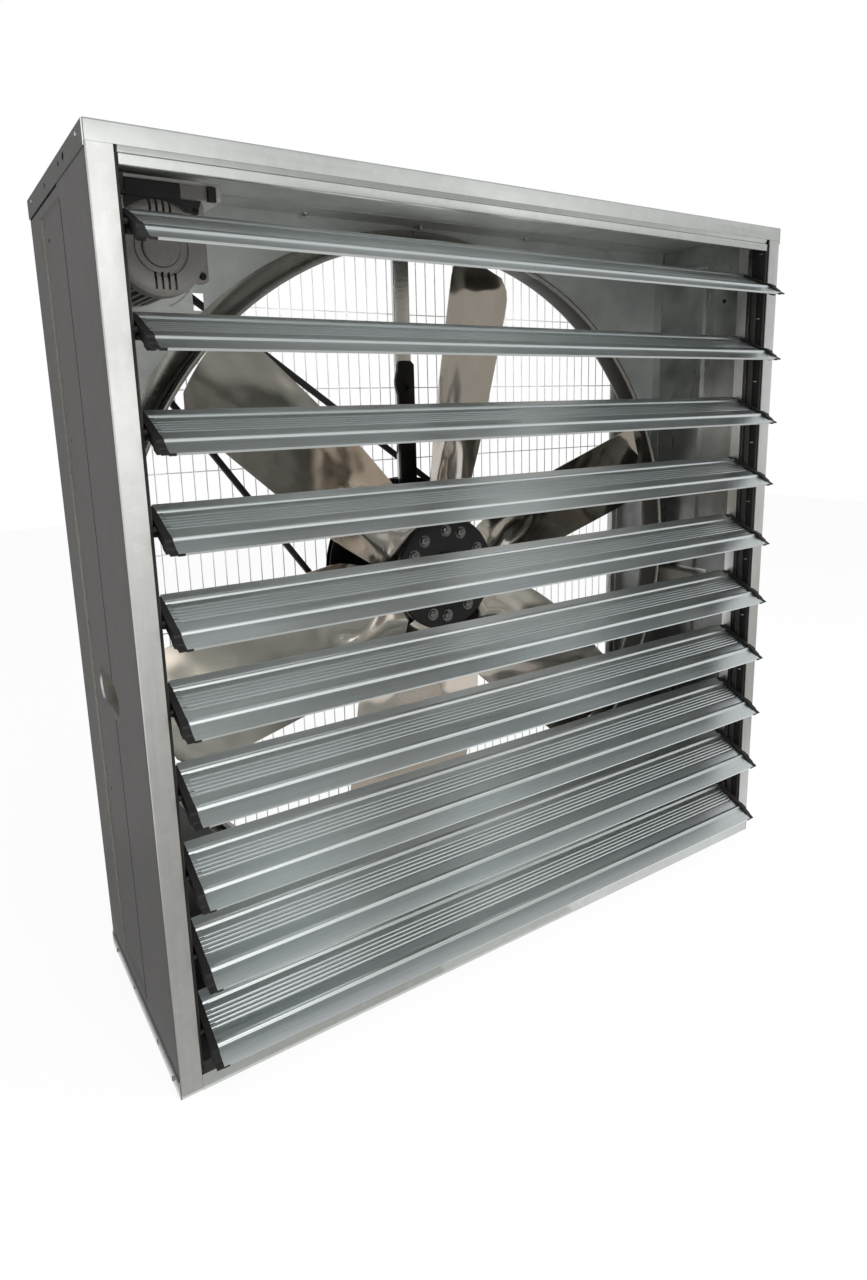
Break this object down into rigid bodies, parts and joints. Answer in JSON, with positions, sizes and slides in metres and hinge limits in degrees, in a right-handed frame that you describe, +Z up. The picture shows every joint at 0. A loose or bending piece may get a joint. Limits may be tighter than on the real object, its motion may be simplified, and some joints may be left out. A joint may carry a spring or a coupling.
{
  "type": "industrial exhaust fan",
  "caption": "Square galvanised belt-driven box exhaust fan with a linked louvre shutter, polished blades and a wire intake guard.",
  "frame": {"origin": "middle of the casing's underside, where the fan stands", "axes": "+Z up, -Y out of the louvred front, +X to the right as seen from the front"},
  "size_m": [1.38, 0.4998, 1.38],
  "materials": {
    "galvanised": "galvanised sheet, satin with a faint grain",
    "louvre_metal": "bright rolled sheet, cool grey",
    "stainless": "polished stainless sheet",
    "black_plastic": "moulded, slightly satin",
    "black_paint": "black enamel, semi-gloss",
    "motor_paint": "grey brown enamel, satin",
    "belt_rubber": "matt black",
    "zinc_steel": "zinc plated",
    "guard_steel": "drawn wire, dull"
  },
  "bodies": {
    "casing": {"top_panel": "galvanised", "bottom_panel": "galvanised", "left_panel": "galvanised", "right_panel": "galvanised", "venturi_plate": "galvanised", "shutter_top_rail": "galvanised", "shutter_bottom_rail": "galvanised", "shutter_channel_left": "galvanised", "shutter_channel_right": "galvanised", "bearing_strip_left": "black_plastic", "bearing_strip_right": "black_plastic", "bearing_housing": "black_paint", "support_beam": "galvanised", "drive_belt": "belt_rubber", "motor_body": "motor_paint", "motor_end_cover": "motor_paint", "motor_bracket": "galvanised", "rear_guard": "guard_steel"},
    "rotor": {"fan_blade_1": "stainless", "fan_blade_2": "stainless", "fan_blade_3": "stainless", "fan_blade_4": "stainless", "fan_blade_5": "stainless", "fan_blade_6": "stainless", "fan_hub": "black_paint", "fan_shaft": "zinc_steel", "driven_pulley": "black_paint"},
    "motor_rotor": {"motor_pulley": "black_paint"},
    "louvre_01_body": {"louvre_01": "louvre_metal", "louvre_01_cap_left": "black_plastic", "louvre_01_cap_right": "black_plastic"},
    "louvre_02_body": {"louvre_02": "louvre_metal", "louvre_02_cap_left": "black_plastic", "louvre_02_cap_right": "black_plastic"},
    "louvre_03_body": {"louvre_03": "louvre_metal", "louvre_03_cap_left": "black_plastic", "louvre_03_cap_right": "black_plastic"},
    "louvre_04_body": {"louvre_04": "louvre_metal", "louvre_04_cap_left": "black_plastic", "louvre_04_cap_right": "black_plastic"},
    "louvre_05_body": {"louvre_05": "louvre_metal", "louvre_05_cap_left": "black_plastic", "louvre_05_cap_right": "black_plastic"},
    "louvre_06_body": {"louvre_06": "louvre_metal", "louvre_06_cap_left": "black_plastic", "louvre_06_cap_right": "black_plastic"},
    "louvre_07_body": {"louvre_07": "louvre_metal", "louvre_07_cap_left": "black_plastic", "louvre_07_cap_right": "black_plastic"},
    "louvre_08_body": {"louvre_08": "louvre_metal", "louvre_08_cap_left": "black_plastic", "louvre_08_cap_right": "black_plastic"},
    "louvre_09_body": {"louvre_09": "louvre_metal", "louvre_09_cap_left": "black_plastic", "louvre_09_cap_right": "black_plastic"},
    "louvre_10_body": {"louvre_10": "louvre_metal", "louvre_10_cap_left": "black_plastic", "louvre_10_cap_right": "black_plastic"},
    "rod_left": {"link_rod_left": "zinc_steel"},
    "rod_right": {"link_rod_right": "zinc_steel"}
  },
  "joints": [
    {"name": "fan_spin", "type": "hinge", "parent": "casing", "child": "rotor", "pos_m": [0, 0, 0.69], "axis": [0, 1, 0], "continuous": true},
    {"name": "motor_spin", "type": "hinge", "parent": "casing", "child": "motor_rotor", "pos_m": [-0.572, 0, 1.262], "axis": [0, 1, 0], "continuous": true},
    {"name": "louvre_01_tilt", "type": "hinge", "parent": "casing", "child": "louvre_01_body", "pos_m": [0, -0.2155, 1.268], "axis": [1, 0, 0], "range_deg": [-25.7, 64.3]},
    {"name": "louvre_02_tilt", "type": "hinge", "parent": "casing", "child": "louvre_02_body", "pos_m": [0, -0.2155, 1.1376], "axis": [1, 0, 0], "range_deg": [-25.7, 64.3]},
    {"name": "louvre_03_tilt", "type": "hinge", "parent": "casing", "child": "louvre_03_body", "pos_m": [0, -0.2155, 1.0072], "axis": [1, 0, 0], "range_deg": [-25.7, 64.3]},
    {"name": "louvre_04_tilt", "type": "hinge", "parent": "casing", "child": "louvre_04_body", "pos_m": [0, -0.2155, 0.8768], "axis": [1, 0, 0], "range_deg": [-25.7, 64.3]},
    {"name": "louvre_05_tilt", "type": "hinge", "parent": "casing", "child": "louvre_05_body", "pos_m": [0, -0.2155, 0.7464], "axis": [1, 0, 0], "range_deg": [-25.7, 64.3]},
    {"name": "louvre_06_tilt", "type": "hinge", "parent": "casing", "child": "louvre_06_body", "pos_m": [0, -0.2155, 0.616], "axis": [1, 0, 0], "range_deg": [-25.7, 64.3]},
    {"name": "louvre_07_tilt", "type": "hinge", "parent": "casing", "child": "louvre_07_body", "pos_m": [0, -0.2155, 0.4856], "axis": [1, 0, 0], "range_deg": [-25.7, 64.3]},
    {"name": "louvre_08_tilt", "type": "hinge", "parent": "casing", "child": "louvre_08_body", "pos_m": [0, -0.2155, 0.3552], "axis": [1, 0, 0], "range_deg": [-25.7, 64.3]},
    {"name": "louvre_09_tilt", "type": "hinge", "parent": "casing", "child": "louvre_09_body", "pos_m": [0, -0.2155, 0.2248], "axis": [1, 0, 0], "range_deg": [-25.7, 64.3]},
    {"name": "louvre_10_tilt", "type": "hinge", "parent": "casing", "child": "louvre_10_body", "pos_m": [0, -0.2155, 0.0944], "axis": [1, 0, 0], "range_deg": [-25.7, 64.3]},
    {"name": "rod_left_swing", "type": "hinge", "parent": "louvre_01_body", "child": "rod_left", "pos_m": [-0.647, -0.2004, 1.26271], "axis": [1, 0, 0], "range_deg": [-64.3, 25.7]},
    {"name": "rod_right_swing", "type": "hinge", "parent": "louvre_01_body", "child": "rod_right", "pos_m": [0.647, -0.2004, 1.26271], "axis": [1, 0, 0], "range_deg": [-64.3, 25.7]}
  ],
  "couplings": [
    {"joint": "motor_spin", "follows": "fan_spin", "ratio": 3.1897},
    {"joint": "louvre_02_tilt", "follows": "louvre_01_tilt", "ratio": 1},
    {"joint": "louvre_03_tilt", "follows": "louvre_01_tilt", "ratio": 1},
    {"joint": "louvre_04_tilt", "follows": "louvre_01_tilt", "ratio": 1},
    {"joint": "louvre_05_tilt", "follows": "louvre_01_tilt", "ratio": 1},
    {"joint": "louvre_06_tilt", "follows": "louvre_01_tilt", "ratio": 1},
    {"joint": "louvre_07_tilt", "follows": "louvre_01_tilt", "ratio": 1},
    {"joint": "louvre_08_tilt", "follows": "louvre_01_tilt", "ratio": 1},
    {"joint": "louvre_09_tilt", "follows": "louvre_01_tilt", "ratio": 1},
    {"joint": "louvre_10_tilt", "follows": "louvre_01_tilt", "ratio": 1},
    {"joint": "rod_left_swing", "follows": "louvre_01_tilt", "ratio": -1},
    {"joint": "rod_right_swing", "follows": "louvre_01_tilt", "ratio": -1}
  ]
}
